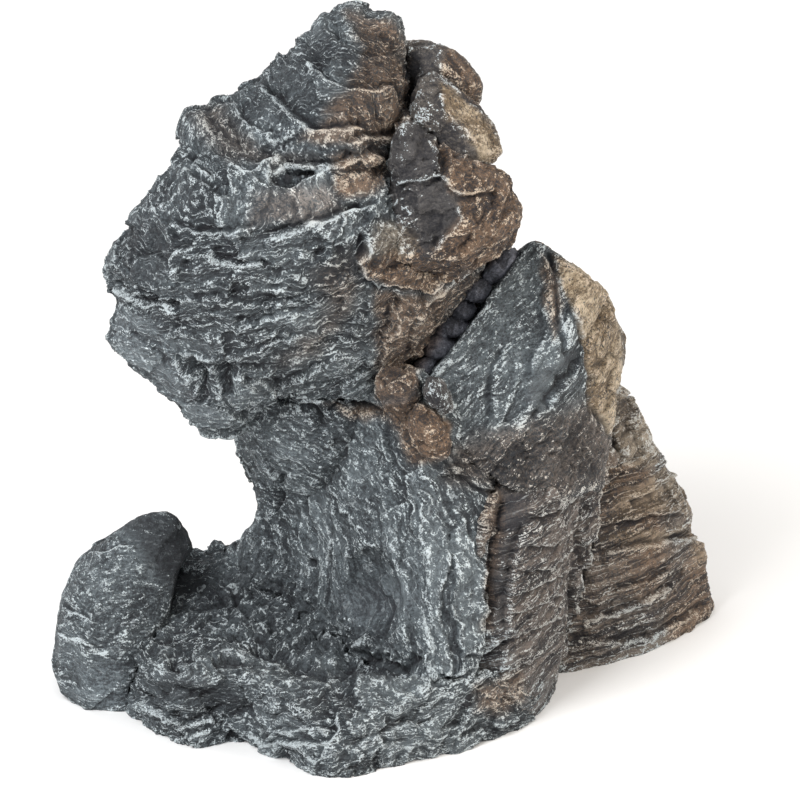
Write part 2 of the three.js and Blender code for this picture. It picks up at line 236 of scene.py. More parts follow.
# Lines and outlines that more than one mark follows.
HEAD_BASE_LEFT = [(104, 170), (109.5, 167.5), (116.5, 164.5), (122, 159)]
HEAD_BASE_RIGHT = [(125, 165.5), (131, 168), (139.5, 166.5), (147, 163.5)]
SLAB_SIDE = [(165.5, 324), (174.5, 325), (174, 319), (174.5, 313.5), (169, 313.5), (165.5, 309)]
STRATA_NOTCH = [(202, 128), (212, 128), (214, 116), (206, 110), (199, 112)]
BASIN_FLOOR = [(60, 78), (84, 92), (104, 84), (130, 68), (164, 56), (140, 48), (100, 54), (74, 66)]
WEDGE_FOOT = [(176, 148), (200, 152), (240, 160), (250, 146), (226, 130), (200, 132), (178, 138)]

# Torn lips: the stone on the left hand of the way each is drawn stands out, and the other side is undercut.
# Height, reach, how white the lip is, and the path.
LIPS = [
    # the peak's shells, each torn along its upper rim
    (2.2, 9, 0.5, [(155, 322), (142, 320), (131, 325), (124, 334)]),
    (3.0, 11, 1.0, [(154, 309), (144, 306), (134, 306.5), (128.5, 309), (123, 311.5), (118.5, 315),
        (114, 321)]),
    (3.8, 13, 1.0, [(146, 289), (132, 289), (118.5, 288), (113, 291.5), (107.5, 296), (102, 301.5),
        (97, 305), (94.5, 310)]),
    (2.4, 9, 0.8, [(102, 287), (97, 286), (91, 289.5), (86, 292.5), (84, 303)]),
    (2.4, 9, 0.6, [(92, 276), (84, 280), (76, 286), (68, 297)]),
    (2.6, 10, 0.9, [(158, 292), (153, 288.5), (149, 285), (140.5, 286), (130, 282)]),
    # the head's shells
    (3.6, 12, 1.0, [(152, 281), (140.5, 279.5), (135, 277.5), (129.5, 274), (121, 272), (113, 273.5),
        (104, 273), (97, 271), (92, 268.5), (85.5, 269.5), (78, 270), (73.5, 267.5), (66, 272), (60, 281)]),
    (2.4, 8, 0.9, [(122, 269), (115.5, 264), (108.5, 262.5), (98, 262), (90, 266)]),
    (2.2, 8, 0.7, [(84, 257), (78, 259), (70, 264), (62, 270)]),
    (3.2, 12, 1.0, [(146, 256), (140.5, 254.5), (135, 253), (127.5, 250), (118.5, 248), (109.5, 244.5),
        (102, 242), (94.5, 241)]),
    (2.6, 10, 0.9, [(93.5, 245.5), (87, 245.5), (82, 243), (72.5, 244), (65, 243), (59.5, 245.5), (54, 250)]),
    (2.6, 9, 1.0, [(99, 230), (89, 230), (78, 230), (74.5, 232.5), (73.5, 236.5)]),
    (2.6, 8, 0.9, [(67, 241), (64.5, 237), (57, 235.5), (55, 230), (57, 222)]),
    (2.6, 10, 1.0, [(60, 206), (51, 213), (41, 211.5), (33, 217), (26.5, 222.5)]),
    (1.8, 8, 0.6, [(120, 216), (109.5, 214), (100, 212), (91, 211), (79, 213.5), (70, 218)]),
    (2.0, 8, 0.7, [(112, 210), (99, 206.5), (91, 203.5), (82, 203)]),
    (1.8, 7, 0.7, [(114, 180.5), (108.5, 178.5), (101, 175.5), (94.5, 177.5), (88, 178.5), (84, 184)]),
    (3.0, 7, 0.9, [(67, 171), (66, 177.5), (60.5, 181), (58, 187.5), (55, 190)]),
    (2.4, 7, 0.8, [(77, 171), (76, 178), (74, 186)]),
    # the ochre patch and the brown panels right of it
    (2.4, 12, 1.0, [(136, 246), (140.5, 242), (142, 235.5), (138, 230), (140.5, 224.5), (145, 220.5),
        (154, 220.5), (164, 219.5), (168.5, 217), (174.5, 222), (184, 227.5), (193, 229)]),
    (1.4, 6, 0.8, [(152.5, 214), (153.5, 208), (152.5, 200.5), (148, 195), (147, 181), (145, 167.5)]),
    (1.2, 5, 0.6, [(159, 216), (161.5, 208), (159, 200.5), (160.5, 190.5), (159, 180.5), (150, 175.5)]),
    (2.6, 7, 0.5, HEAD_BASE_LEFT[::-1]),
    (2.6, 7, 0.6, HEAD_BASE_RIGHT[::-1]),
    # shoulder
    (1.6, 12, 1.0, [(152.5, 262), (158, 265), (165.5, 265.5), (174, 268), (177.5, 263), (182, 259.5),
        (189.5, 259.5), (198.5, 262)]),
    (1.4, 10, 0.9, [(174, 270), (172, 276), (170, 280.5), (168.5, 286)]),
    (1.6, 10, 0.9, [(180, 256), (182, 249.5), (178.5, 244), (173, 238.5), (168.5, 234.5)]),
    # wedge
    (2.6, 8, 0.6, [(236, 188), (233, 181.5), (226.5, 173), (221, 167), (214.5, 159.5)]),
    (1.6, 5, 0.9, [(231, 211), (234.5, 202.5), (236.5, 194.5)]),
    (2.0, 8, 0.7, [(172, 135.5), (184, 135.5), (193.5, 129), (201, 127.5)]),
    (2.4, 7, 0.8, [(213.5, 116), (225.5, 120), (239.5, 127.5), (251, 133), (257.5, 137.5)]),
    # the neck's right edge
    (4.5, 12, 0.5, [(192, 70), (192.5, 79), (192.5, 87), (193.5, 95), (194.5, 104), (197.5, 111),
        (199.5, 121), (201.5, 129.5)]),
    # front strata: its right edge, then its beds
    (3.4, 9, 0.9, [(227.3, 46.8), (230.9, 61.2), (233.1, 74.7), (235.8, 83.7), (238.5, 97.2),
        (243.5, 110.7), (244.8, 124.2), (250, 133)]),
    (2.0, 6, 0.9, [(209.5, 104), (221.5, 104.5), (227.5, 108), (235.5, 114), (244.5, 119)]),
    (2.2, 6, 0.9, [(207.5, 93), (221.5, 94), (227.5, 98), (234.5, 103), (243.5, 108)]),
    (2.2, 6, 0.9, [(203.5, 81), (211.5, 84), (219.5, 87), (227.5, 91), (237.5, 96), (241.5, 97)]),
    (1.6, 5, 0.8, [(202.5, 73), (212.5, 75), (222.5, 80), (229.5, 82), (237.5, 84)]),
    (2.0, 6, 0.9, [(203.5, 62), (212.5, 65), (221.5, 70), (230.5, 72), (236.5, 75)]),
    (2.2, 7, 0.9, [(183.5, 54), (192.5, 56), (201.5, 60), (206, 63)]),
    (2.2, 7, 0.9, [(187.5, 37), (195.5, 43), (203.5, 48), (211.5, 51), (222, 58)]),
    # rear strata
    (2.4, 6, 0.8, [(243.5, 111), (257.5, 114), (272.5, 116.5), (286.5, 117)]),
    (2.6, 7, 1.0, [(292, 106), (286.5, 105.5), (272.5, 104), (257.5, 102), (245.5, 99)]),
    (1.8, 6, 0.8, [(278, 92), (272.5, 87), (262.5, 85), (251.5, 82)]),
    (2.2, 7, 1.0, [(282, 85), (276.5, 83), (267.5, 78), (257.5, 74), (249.5, 71), (237.5, 69)]),
    (2.4, 6, 0.9, [(298, 76), (288, 70), (272.5, 62), (257.5, 58.5), (243.5, 60.5), (231.5, 60)]),
    (2.4, 7, 0.9, [(258.5, 123), (268, 127), (278, 134), (284, 130)]),
    # ledge and basin
    (1.8, 8, 0.5, [(118, 69), (108, 65), (97.5, 67), (82, 72.5), (66.5, 73.5), (52, 71)]),
    (2.0, 7, 0.7, [(91, 59), (79, 60), (64, 61), (48, 59), (42, 62)]),
    (3.2, 8, 0.9, [(80, 32), (72.5, 28), (66.5, 25), (60.5, 24), (52, 26), (43.5, 31), (38.5, 37)]),
    (1.6, 5, 1.0, [(70.5, 23.5), (66.5, 21), (60.5, 18), (53, 16.5)]),
    (2.0, 7, 1.0, [(125.5, 29), (127.5, 27), (128.5, 21.5), (124.5, 17.5), (116, 16), (105.5, 16.5),
        (95.5, 15.5), (89, 19.5), (85, 23.5)]),
    (1.2, 5, 1.0, [(127.5, 22), (118, 23.5), (108, 21.5), (98.5, 20.5)]),
    (1.2, 5, 1.0, [(123.5, 15.5), (122, 10.5), (119, 8), (116, 11.5)]),
    (2.0, 7, 0.7, [(158, 46), (168, 44), (180, 45), (190, 50)]),
    (1.4, 6, 0.7, [(190, 24), (176, 22), (160, 24), (144, 20), (132, 12)]),
    # boulder
    (1.6, 8, 0.9, [(39, 103), (31.5, 102), (26, 101), (20, 99.5), (12.5, 99)]),
    (0.8, 4, 1.0, [(16, 70), (7.5, 73.5), (2.5, 75.5)]),
    (0.9, 4, 1.0, [(26, 57), (20, 56), (14, 60), (6.5, 62), (2.5, 65)]),
    (0.7, 4, 0.9, [(12, 42), (7.5, 42), (2.5, 43.5)]),
    (0.9, 4, 0.8, [(40.5, 72), (35.5, 70), (29.5, 68)]),
]

# Ridges between two faces of a stone: both sides fall away.
# Height, reach, how white the ridge is, and the path.
RIDGES = [
    (2.2, 4, 1.0, [(173.8, 305.3), (172.9, 301.6), (174.7, 295.2), (178.4, 292.5), (183.9, 287.9),
        (190.3, 279.6)]),
    (1.8, 4, 0.9, [(174.5, 325), (173.5, 319), (174.5, 313.5)]),
    (1.8, 4, 0.3, [(181, 103), (179, 92), (178, 82), (181, 70), (184, 60)]),
    (1.6, 5, 0.9, [(216, 238), (221, 232), (226, 222), (227.5, 208), (231, 198), (236, 189)]),
]

# Narrow cracks: width, depth and path.
CRACKS = [
    (1.2, 2.6, [(222, 236), (224.5, 227.5), (225.5, 218), (226.5, 207), (228.5, 196), (229, 190.5)]),
    (1.6, 3.2, [(248.5, 210), (240, 196), (237.5, 194.5), (239.5, 189), (242, 179.5), (242, 167),
        (248.5, 157.5), (257.5, 142)]),
    (1.4, 2.0, [(200, 190.5), (197, 183.5), (195.5, 174), (196, 163)]),
    (1.6, 4.0, HEAD_BASE_LEFT),
    (1.6, 3.4, HEAD_BASE_RIGHT),
    (1.8, 6.0, [(102.5, 132.5), (102, 126), (100, 119.5)]),
    (3.4, 5.5, [(93, 57), (105.5, 53), (118, 48), (128.5, 47), (137, 51), (147, 52), (158, 46), (163, 52)]),
    (1.6, 2.6, [(210, 112), (206, 99), (203, 85), (202, 70), (203, 59)]),
    (1.2, 2.2, [(169, 286), (174, 280), (180, 276)]),
    (2.2, 4.5, [(161, 325), (163, 314), (161, 303)]),
    (1.0, 1.6, [(127, 330), (130, 329)]),
    (1.0, 2.2, [(239, 198), (245, 206), (252, 212), (257, 219)]),
    (0.9, 1.8, [(246, 206), (254, 202), (262, 204)]),
    (0.9, 1.8, [(244, 184), (251, 189), (258, 188), (266, 180)]),
]

# Pits: depth, how white the rim is, centre, half length, half width and turn in degrees.
PITS = [
    (4.5, 1.0, (109.5, 267), 11, 3.6, 6),
    (5.0, 0.0, (46, 236), 8, 13, -10),
    (6.0, 0.6, (66.5, 181), 4.5, 9.5, 22),
    (3.6, 0.4, (79.5, 180), 2.6, 8, 14),
    (2.4, 0.4, (121, 234), 5, 3.4, 30),
    (4.5, 0.7, (116, 95), 2.4, 2.4, 0),
    (2.2, 0.5, (86.5, 163.5), 2.2, 1.8, 0),
    (2.0, 0.0, (145, 80), 20, 11, 10),
    (2.4, 0.0, (165, 279), 7, 12, 0),
    (3.0, 0.0, (172, 251), 9, 14, 15),
    (4.0, 0.2, (60, 37), 20, 5.5, -4),
    (2.6, 0.6, (139, 237), 2.6, 5, 0),
    (2.2, 0.0, (222, 175), 7, 9, -40),
]

# Painted and worn areas of the front: kind, strength, softness of the border, and outline.
# Bare areas are worn smooth, crumbs are rubble, and pale areas catch more of the dry-brushing.
# Dark areas are painted shade in crevices, pits, grooves and undercuts, and dark paint on some faces.
KINDS = ("dark", "bare", "crumbs", "brown", "tan", "pale")
AREAS = [
    # dark crevices and smooth dark faces: painted shade in crevices and recesses, dark paint elsewhere
    # painted shade: the recess between the peak and the slabs, and the shaded left side of the top slab
    ("dark", 1.0, 1.5, [(159, 326), (165.5, 324), (167, 316), (165, 309), (160, 301)]),
    ("dark", 0.7, 1.5, SLAB_SIDE),
    ("bare", 0.5, 2.0, SLAB_SIDE),
    # painted shade on the middle slab's lower front face, below the ridge
    ("dark", 0.6, 1.2, [(169, 312.5), (174, 308), (174, 300.5), (177.5, 294), (184, 287), (190, 278.5),
        (193, 274), (188, 272), (183, 274.5), (175.5, 280.5), (169, 286), (170, 291.5), (166, 300)]),
    ("bare", 0.4, 2.0, [(177.5, 294), (184, 287), (190, 278.5), (193, 274), (188, 272), (175.5, 280.5),
        (169, 288)]),
    ("dark", 0.85, 1.2, [(162, 289), (165.5, 291.5), (168.5, 289), (169, 283), (174, 272), (170, 267.5),
        (164.5, 267.5), (157, 266), (155.5, 271.5), (157, 281.5)]),
    ("bare", 0.3, 3.0, [(162, 289), (168.5, 289), (174, 272), (170, 267.5), (157, 266), (155.5, 271.5)]),
    ("dark", 0.85, 1.2, [(159, 262), (173, 265), (182, 257.5), (181, 249.5), (174.5, 241), (168.5, 234.5),
        (164.5, 236.5), (166.5, 245.5), (161, 255)]),
    ("bare", 0.3, 3.0, [(159, 262), (173, 265), (182, 257.5), (181, 249.5), (174.5, 241), (166.5, 245.5)]),
    # painted shade inside the pits of the head
    ("dark", 0.7, 3.0, [(37, 248), (46, 250), (56, 244), (54, 228), (46, 220), (36, 222), (33, 234)]),
    ("dark", 0.8, 2.0, [(59.5, 189), (62.5, 190.5), (69, 186), (73, 180), (72, 173), (68, 173), (65, 179)]),
    ("dark", 0.35, 1.6, [(98, 268), (104, 271), (118, 270), (121, 267), (114, 264), (99, 263)]),
    # painted shade in the undercut bands beside the peak's and head's shell rims
    ("dark", 0.5, 3.0, [(100, 318), (112, 322), (122, 310), (134, 304), (146, 303), (140, 293), (120, 292),
        (104, 303)]),
    ("dark", 0.5, 2.5, [(84, 278), (120, 279), (140, 284), (136, 277), (120, 274), (100, 274), (84, 271)]),
    ("dark", 0.2, 3.0, [(203, 240), (196, 230), (184, 215), (170, 194), (164, 178), (168, 172), (182, 190),
        (192, 207), (210, 232)]),
    ("dark", 0.7, 2.0, [(221, 183), (228, 187), (233, 191), (235, 186), (226.5, 181), (221, 168),
        (216, 163), (212, 168), (214.5, 178)]),
    ("bare", 0.7, 3.0, [(221, 183), (233, 191), (235, 186), (226.5, 181), (221, 168), (212, 168),
        (214.5, 178)]),
    # painted shadow that the neck's overhanging right edge casts into the notch and groove beside the front
    # strata
    ("dark", 0.9, 3.0, STRATA_NOTCH),
    ("bare", 0.5, 3.0, STRATA_NOTCH),
    ("dark", 0.8, 2.0, [(193, 68), (203, 68), (205, 92), (210, 110), (201, 112), (196, 100)]),
    # painted shade in the deep crevice that holds the pebbles
    ("dark", 0.9, 3.0, [(92, 62), (108, 55), (126, 50), (146, 54), (158, 48), (165, 54), (160, 42),
        (126, 44), (106, 50)]),
    ("dark", 0.7, 6.0, [(58, 100), (88, 104), (104, 86), (126, 70), (160, 60), (140, 50), (100, 58),
        (60, 72)]),
    ("pale", 0.8, 8.0, BASIN_FLOOR),
    ("crumbs", 1.0, 8.0, BASIN_FLOOR),
    # painted shade in the groove along the ledge
    ("dark", 0.7, 3.0, [(40, 41), (56, 45), (68.5, 43), (83, 40), (87, 34), (77, 31), (56, 32), (46, 34)]),
    ("dark", 0.5, 9.0, [(128, 84), (140, 92), (156, 90), (163, 80), (156, 72), (140, 68), (130, 74)]),
    ("bare", 0.7, 9.0, [(126, 84), (140, 94), (158, 92), (166, 80), (156, 70), (138, 66), (128, 72)]),
    ("dark", 1.0, 5.0, [(30, 112), (42, 118), (58, 117), (76, 100), (70, 82), (56, 74), (44, 92), (36, 104)]),
    ("bare", 0.8, 3.0, [(88, 246), (94, 262), (122, 262), (128, 256), (120, 249), (100, 244)]),
    ("bare", 0.6, 4.0, [(12, 50), (8, 36), (34, 24), (50, 22), (34, 40), (30, 52)]),
    ("bare", 0.7, 4.0, [(28, 212), (50, 205), (62, 180), (78, 160), (60, 164), (34, 188), (28, 200)]),
    # painted shade over the peak's left side, where the key lamp lights it strongly
    ("dark", 0.55, 8.0, [(84, 300), (124, 334), (150, 322), (150, 300), (120, 290), (96, 292)]),
    # dark beds between the pale ones of the rear strata: painted shade in the undercuts below their lips
    ("dark", 0.7, 1.2, [(246, 108), (272, 111), (290, 112), (290, 107), (272, 105), (244, 102)]),
    ("dark", 0.6, 1.5, [(240, 92), (262, 95), (292, 98), (292, 92), (264, 88), (238, 86)]),
    ("dark", 0.6, 1.5, [(234, 62), (258, 64), (276, 74), (296, 84), (297, 78), (274, 67), (256, 60),
        (233, 58)]),
    # brown
    ("brown", 0.85, 4.0, [(134, 340), (142, 336), (152, 337), (156, 330), (161, 305), (158, 288),
        (150, 284), (136, 284), (124, 296), (134, 308), (140, 320)]),
    ("brown", 0.7, 3.0, [(112, 284), (120, 292), (134, 297), (150, 300), (158, 296), (156, 284), (140, 280)]),
    ("brown", 0.85, 3.0, [(126, 276), (142, 282), (152, 276), (148, 262), (132, 258), (126, 262)]),
    ("brown", 0.4, 4.0, [(90, 246), (92, 258), (108, 262), (128, 260), (130, 252), (112, 246)]),
    ("brown", 0.4, 5.0, [(64, 296), (76, 300), (84, 290), (96, 278), (120, 276), (100, 272), (80, 276)]),
    ("brown", 0.9, 2.0, [(174.5, 325), (181, 324), (187, 318), (194, 309), (191, 299), (183, 306),
        (174.5, 313)]),
    ("brown", 0.95, 2.5, [(171, 281), (175.5, 279.5), (182, 274), (190, 272), (206, 272), (212, 254),
        (207, 240), (196, 230), (184, 227), (174, 221), (168, 218), (150, 221), (140, 225), (138, 232),
        (150, 236), (164, 236), (169, 234), (175, 241), (182, 250), (184, 258), (178, 262)]),
    ("brown", 0.8, 3.0, [(145, 218), (170, 216), (192, 228), (174, 202), (164, 182), (160, 170), (146, 170),
        (146, 194)]),
    ("brown", 0.5, 6.0, [(118, 226), (134, 232), (138, 222), (132, 206), (118, 190), (104, 186), (126, 206)]),
    ("brown", 0.9, 3.0, [(124, 168), (146, 166), (164, 172), (164, 160), (172, 142), (160, 140), (152, 160),
        (136, 162)]),
    ("brown", 0.95, 2.0, [(160, 168), (170, 168), (178, 158), (178, 146), (168, 142), (160, 148)]),
    ("brown", 0.5, 6.0, [(180, 148), (214, 160), (246, 172), (254, 150), (256, 134), (226, 124), (200, 130),
        (176, 134)]),
    ("dark", 0.35, 8.0, WEDGE_FOOT),
    ("crumbs", 0.45, 6.0, WEDGE_FOOT),
    ("brown", 0.7, 2.5, [(219, 233), (225, 230), (228, 212), (224, 196), (221, 214)]),
    ("brown", 0.3, 5.0, [(206, 124), (256, 136), (258, 128), (242, 100), (236, 74), (226, 46), (206, 44),
        (204, 80)]),
    ("brown", 0.7, 3.0, [(192, 66), (198, 66), (199, 90), (204, 112), (202, 130), (196, 130), (194, 104)]),
    ("brown", 0.7, 4.0, [(190, 40), (212, 48), (214, 34), (200, 26), (190, 30)]),
    ("brown", 0.6, 6.0, [(238, 96), (300, 100), (300, 74), (256, 54), (232, 52)]),
    # tan
    # the middle slab's upper face: its brown paint lightened to tan, partly as painted light on the lit face
    ("tan", 0.9, 1.6, [(174, 308), (180, 306), (187.5, 299), (195, 292), (202, 281), (200, 275), (194, 275),
        (190, 279), (184, 287), (177.5, 294), (174, 301)]),
    ("tan", 0.35, 3.0, [(144, 246), (152, 248), (164, 242), (164, 236), (154, 233), (144, 236)]),
    ("tan", 0.95, 2.0, [(225, 234), (240, 226), (258, 216), (262, 180), (276, 150), (272, 140), (258, 140),
        (249, 158), (243, 167), (242, 180), (237, 195), (233, 209), (227, 223)]),
    ("tan", 0.95, 2.0, [(259, 128), (272, 136), (280, 142), (292, 124), (290, 117), (268, 117), (248, 113)]),
    ("tan", 0.9, 1.6, [(245, 107), (262, 110), (290, 111), (290, 106), (272, 104.5), (253, 103)]),
    ("tan", 0.8, 2.0, [(288, 108), (298, 105), (299, 94), (290, 95)]),
    # heavy dry-brushing
    ("pale", 1.0, 10.0, [(150, 128), (190, 112), (194, 70), (188, 52), (160, 56), (150, 96)]),
    ("pale", 0.6, 10.0, [(104, 128), (150, 126), (150, 100), (122, 92), (104, 104)]),
    ("pale", 0.7, 12.0, [(92, 130), (98, 160), (140, 164), (170, 140), (150, 124), (108, 122)]),
    ("pale", 0.5, 4.0, [(83, 284), (100, 276), (122, 279), (120, 290), (104, 296), (90, 292)]),
    ("pale", 0.4, 6.0, [(26, 222), (48, 208), (66, 176), (90, 158), (78, 152), (46, 176), (26, 200)]),
    ("pale", 0.8, 6.0, [(94, 208), (112, 216), (128, 206), (134, 186), (118, 178), (104, 194)]),
    ("pale", 0.8, 6.0, [(108, 182), (146, 196), (146, 178), (112, 168)]),
    ("pale", 0.8, 3.0, [(248, 113), (259, 128), (272, 138), (282, 140), (292, 124), (290, 112)]),
    ("pale", 1.0, 5.0, [(76, 26), (100, 30), (130, 26), (128, 4), (100, 6)]),
    ("pale", 0.8, 6.0, [(2, 100), (20, 100), (36, 88), (34, 62), (20, 48), (2, 54)]),
    ("pale", 1.0, 6.0, [(172, 190), (212, 234), (226, 222), (232, 196), (226, 172), (208, 150), (176, 162)]),
    ("pale", 0.4, 4.0, [(214, 158), (224, 178), (240, 184), (242, 168), (222, 156)]),
    ("pale", 0.7, 4.0, [(80, 172), (92, 176), (98, 160), (86, 152), (80, 160)]),
    ("pale", 1.0, 6.0, [(160, 50), (186, 52), (214, 50), (224, 44), (190, 16), (150, 6), (134, 12),
        (140, 36)]),
]


def in_oval(uv, centre, half_length, half_width, turn):
    """0 at an oval's middle and 1 at its rim."""
    angle = math.radians(turn)
    du, dv = uv[:, 0] - centre[0], uv[:, 1] - centre[1]
    return np.hypot(
        (du * math.cos(angle) + dv * math.sin(angle)) / half_length,
        (dv * math.cos(angle) - du * math.sin(angle)) / half_width,
    )


# The view as a grid: the size of its cells, the empty cells at its edge, and how many it has each way.
VIEW_CELL, VIEW_MARGIN, VIEW_CELLS = 4.0, 20, 140


def in_view(points, normals):
    """1 where the camera sees this stone's skin, and 0 on its far side and inside it."""
    uv = seen(points)
    depth = points[:, 1] * COS - points[:, 2] * SIN
    cell = np.floor(uv / VIEW_CELL).astype(int) + VIEW_MARGIN
    nearest = np.full((VIEW_CELLS, VIEW_CELLS), np.inf)
    np.minimum.at(nearest, (cell[:, 0], cell[:, 1]), depth)
    behind = depth - nearest[cell[:, 0], cell[:, 1]]
    facing = -normals[:, 1] * COS + normals[:, 2] * SIN
    return (smooth(0.0, 0.25, facing) * (1 - smooth(10, 20, behind))).astype(np.float32)


def jittered(points, uv, size, seed, strength):
    """Seen places moved about by noise, so that what is drawn there comes out ragged."""
    return uv + np.stack([noise(points, size, seed), noise(points, size, seed + 1)], 1) * strength


FRONT_ENDS, BACK_STARTS = 105, 140  # how far back
SPRAY_BEHIND = 0.35  # the share of the front's brown and tan that reaches the back


def amounts_of(points):
    """How much of each of the KINDS there is at each point. Behind the front, the paint follows noise."""
    uv = jittered(points, seen(points), 9, 71, 2.4)
    amounts = {kind: np.zeros(len(points), np.float32) for kind in KINDS}
    for kind, strength, soft, outline in AREAS:
        amounts[kind] = np.maximum(amounts[kind], strength * within(uv, outline, soft))
    front = 1 - smooth(FRONT_ENDS, BACK_STARTS, points[:, 1])
    for kind in KINDS:
        kept = np.maximum(front, SPRAY_BEHIND) if kind in ("brown", "tan") else front
        amounts[kind] = amounts[kind] * kept
    clouds = layered(points, 70, 73, 2)
    to_right = smooth(60, 260, points[:, 0])
    rusty = 0.8 * smooth(-0.1, 0.4, clouds - 0.3 + 0.5 * to_right)
    amounts["brown"] = np.maximum(amounts["brown"], (1 - front) * rusty)
    amounts["pale"] = np.maximum(amounts["pale"], (1 - front) * smooth(0.0, 0.5, -clouds) * 0.6)
    return amounts


def tapered(share):
    """1 along a path and 0 at its two ends."""
    return smooth(0, 0.1, share) * (1 - smooth(0.9, 1, share))


UNDERCUT = 1.2  # how deep the hollow under a lip is, in lip heights
UNDERCUT_REACH = 0.33  # how far it reaches, in lip reaches
NO_LIP = 6.0  # the distance to a white edge where there is none near
DULL, DULL_PIT = 1.2, 1.6  # added to the distance to an edge that is not white
HIDDEN = 4.0  # added to the distance to an edge that ends or is out of view


def marks(points, normals):
    """How far lips, ridges, cracks and pits move the skin, and the distance to the nearest white edge."""
    uv = jittered(points, seen(points), 7, 61, 1.3)
    uv = jittered(points, uv, 2.6, 63, 0.45)
    moved = np.zeros(len(points), np.float32)
    lip = np.full(len(points), NO_LIP, np.float32)
    visible = in_view(points, normals)
    for height, reach, white, path in LIPS:
        distance, side, share = along(uv, path, 3 * reach)
        ends = tapered(share)
        out = smooth(-0.6, 0.6, distance * side)
        proud = np.exp(-distance / reach)
        under = -UNDERCUT * np.exp(-distance / (reach * UNDERCUT_REACH))
        moved += height * ends * (out * proud + (1 - out) * under) * (distance < FAR)
        edge = np.abs(distance * side - 0.5)
        lip = np.minimum(lip, edge + DULL * (1 - white) + HIDDEN * (1 - ends * visible))
    for height, reach, white, path in RIDGES:
        distance, _, share = along(uv, path, 3 * reach)
        ends = tapered(share)
        moved += height * ends * np.exp(-distance / reach) * (distance < FAR)
        lip = np.minimum(lip, distance + DULL * (1 - white) + HIDDEN * (1 - ends * visible))
    for width, depth, path in CRACKS:
        distance, _, _ = along(uv, path, 3 * width)
        moved -= depth * np.exp(-((distance / width) ** 2))
    for depth, white, centre, half_length, half_width, turn in PITS:
        out = in_oval(uv, centre, half_length, half_width, turn)
        moved -= depth * (1 - smooth(0.45, 1.15, out))
        rim = np.abs(out - 1.05) * half_width
        lip = np.minimum(lip, rim + DULL_PIT * (1 - white) + HIDDEN * (1 - visible))
    return moved * visible, lip


# ---------------------------------------------------------------- carving one stone

PEAK_TOP = np.array([138.0, 104.0, 331.0], np.float32)
THROAT = (96, 60)  # x and z of the point that the neck's beds run round


def rings(points):
    """Bedding of the peak and head: shells around the summit, running level further down."""
    from_top = np.linalg.norm(points - PEAK_TOP, axis=1)
    level = PEAK_TOP[2] - points[:, 2] + 0.22 * points[:, 0] - 30
    blend = smooth(60, 120, from_top)
    return from_top * (1 - blend) + level * blend


def beds(rise_right, rise_back):
    """Bedding in flat layers that climb to the right and to the back."""
    return lambda points: points[:, 2] - rise_right * points[:, 0] - rise_back * points[:, 1]


def fans(points):
    """Bedding that runs down the neck to the right, in arcs round the throat."""
    return np.hypot(points[:, 0] - THROAT[0], 0.8 * (points[:, 2] - THROAT[1])) * 0.9


TORN = 0.12  # the share of a plate's step that its torn edge takes up


def shingles(field, step, seed):
    """Overlapping plates along a field: their height, and the distance to the nearest torn edge."""
    level = field / step
    whole = np.floor(level).astype(np.int64)
    part = (level - whole).astype(np.float32)
    chance = 0.55 + 0.45 * GRADIENTS[(whole * 37 + seed * 11) & 255, 0]
    edge = smooth(0.0, TORN, part)
    plate = edge * chance * (1 - 0.8 * part)
    from_edge = np.minimum(np.abs(part - TORN), 1 + TORN - part) * step
    return plate - 0.25, from_edge + 2.5 * (1 - chance)


# How each stone is cut: its slot, bedding, plate step, plate height, chip size, chip height, crumple, rounds
# of fairing, how strongly its fine leaves follow the bedding, and how far the beds wander.
Cut = namedtuple("Cut", "slot bedding step plate chip_size chip crumple rounds leafing wander")
STONES = {
    "peak_stone": Cut("slate_resin", rings, 7.0, 3.0, 17, 1.8, 0.4, 8, 1.0, 3.0),
    "head_stone": Cut("slate_resin", rings, 8.0, 3.8, 21, 2.4, 0.4, 10, 0.9, 3.0),
    "slab_top": Cut("tan_resin", beds(-0.5, -0.2), 9.0, 0.5, 14, 0.9, 0.4, 2, 0.3, 3.0),
    "slab_middle": Cut("tan_resin", beds(-0.6, -0.2), 9.0, 0.5, 14, 0.9, 0.4, 2, 0.3, 3.0),
    "shoulder_stone": Cut("brown_resin", beds(0.3, 0.1), 8.0, 1.2, 15, 2.2, 0.55, 5, 0.3, 3.0),
    "wedge_stone": Cut("slate_resin", beds(0.9, 0.1), 14.0, 0.6, 22, 1.3, 0.3, 4, 0.4, 3.0),
    "neck_stone": Cut("slate_resin", fans, 7.0, 1.2, 18, 1.6, 0.5, 24, 0.55, 3.0),
    "left_boulder": Cut("slate_resin", beds(0.0, 0.0), 13.0, 0.6, 26, 1.0, 0.3, 12, 0.5, 3.0),
    "front_ledge": Cut("slate_resin", beds(0.12, 0.0), 6.5, 1.9, 17, 2.8, 0.65, 10, 0.9, 3.0),
    "shoulder_rear": Cut("tan_resin", beds(0.35, 0.1), 5.6, 1.2, 18, 2.4, 0.4, 4, 0.4, 2.0),
    "strata_front": Cut("brown_resin", beds(0.3, 0.05), 6.4, 3.0, 14, 0.9, 0.3, 4, 1.0, 1.2),
    "strata_rear": Cut("tan_resin", beds(0.14, -0.05), 8.4, 3.6, 16, 1.0, 0.3, 4, 1.0, 1.0),
    "rear_wall": Cut("slate_resin", beds(0.15, 0.1), 12.0, 3.2, 24, 3.4, 0.5, 10, 0.8, 2.6),
}
for place in ("low", "high", "right"):
    STONES[f"keystone_{place}"] = Cut("brown_resin", beds(0.3, 0.2), 8.0, 0.3, 7, 0.8, 0.5, 3, 0.0, 3.0)
for i in range(1, 7):
    STONES[f"crevice_pebble_{i}"] = Cut("dark_resin", beds(0.4, 0.2), 6.0, 0.2, 6, 1.8, 0.15, 1, 0.0, 3.0)

